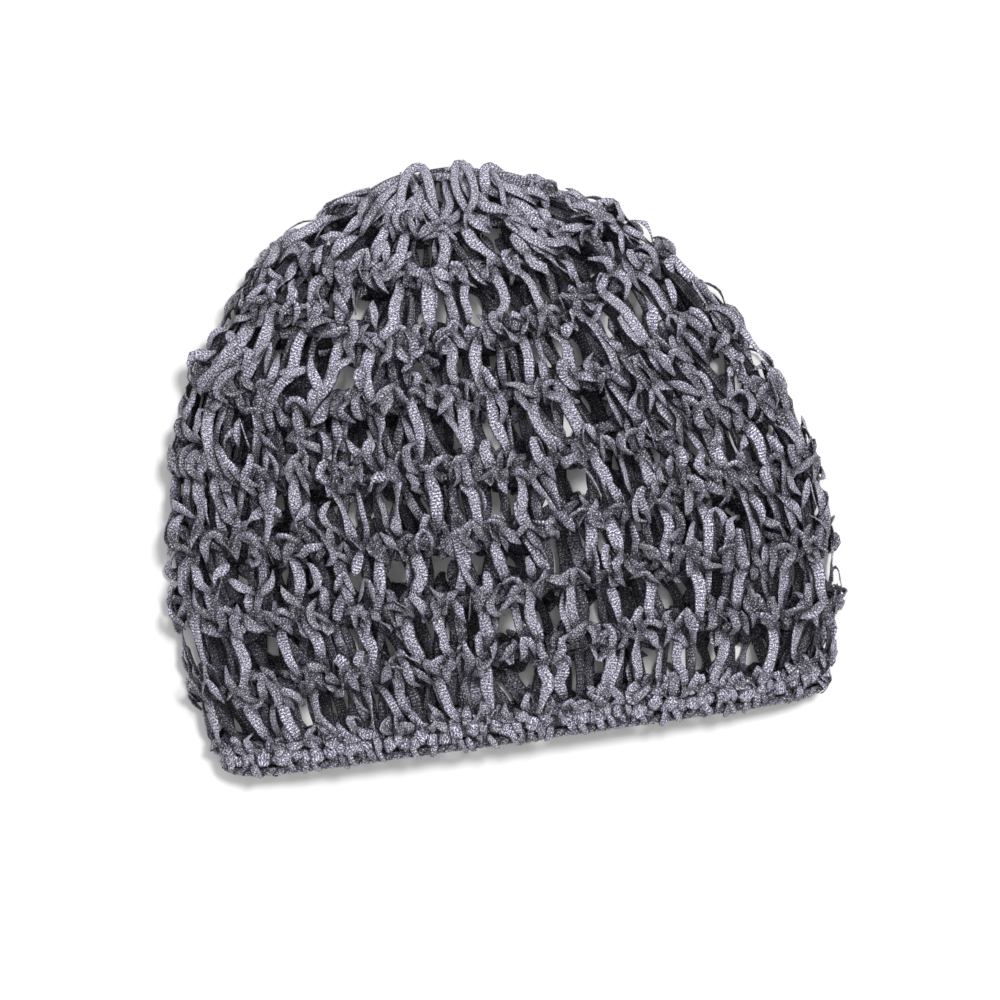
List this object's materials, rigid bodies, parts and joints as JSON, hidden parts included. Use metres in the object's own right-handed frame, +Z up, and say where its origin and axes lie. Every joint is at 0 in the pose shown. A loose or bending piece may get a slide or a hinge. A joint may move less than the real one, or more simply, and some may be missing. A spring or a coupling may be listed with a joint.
{
  "type": "crocheted wig cap",
  "caption": "Openwork crocheted cap of ribbon yarn that holds hair or a wig, lying flat, with a hem band and an elastic edge round its mouth.",
  "frame": {"origin": "under the middle of the lying cap's footprint, on the surface it rests on", "axes": "+Z up from the surface, +Y from the mouth to the crown, +X along the hem, to the right when seen from above with the crown up"},
  "size_m": [0.2553, 0.228, 0.0349],
  "materials": {
    "ribbon_yarn": "woven rayon ribbon with cross ribs and a soft sheen",
    "ribbon_yarn_band": "the same ribbon in close single crochet",
    "wrapped_elastic": "elastic cord wrapped in the ribbon"
  },
  "bodies": {
    "root": {"net_body": "ribbon_yarn", "hem_band": "ribbon_yarn_band", "elastic_edge": "wrapped_elastic"}
  },
  "joints": []
}
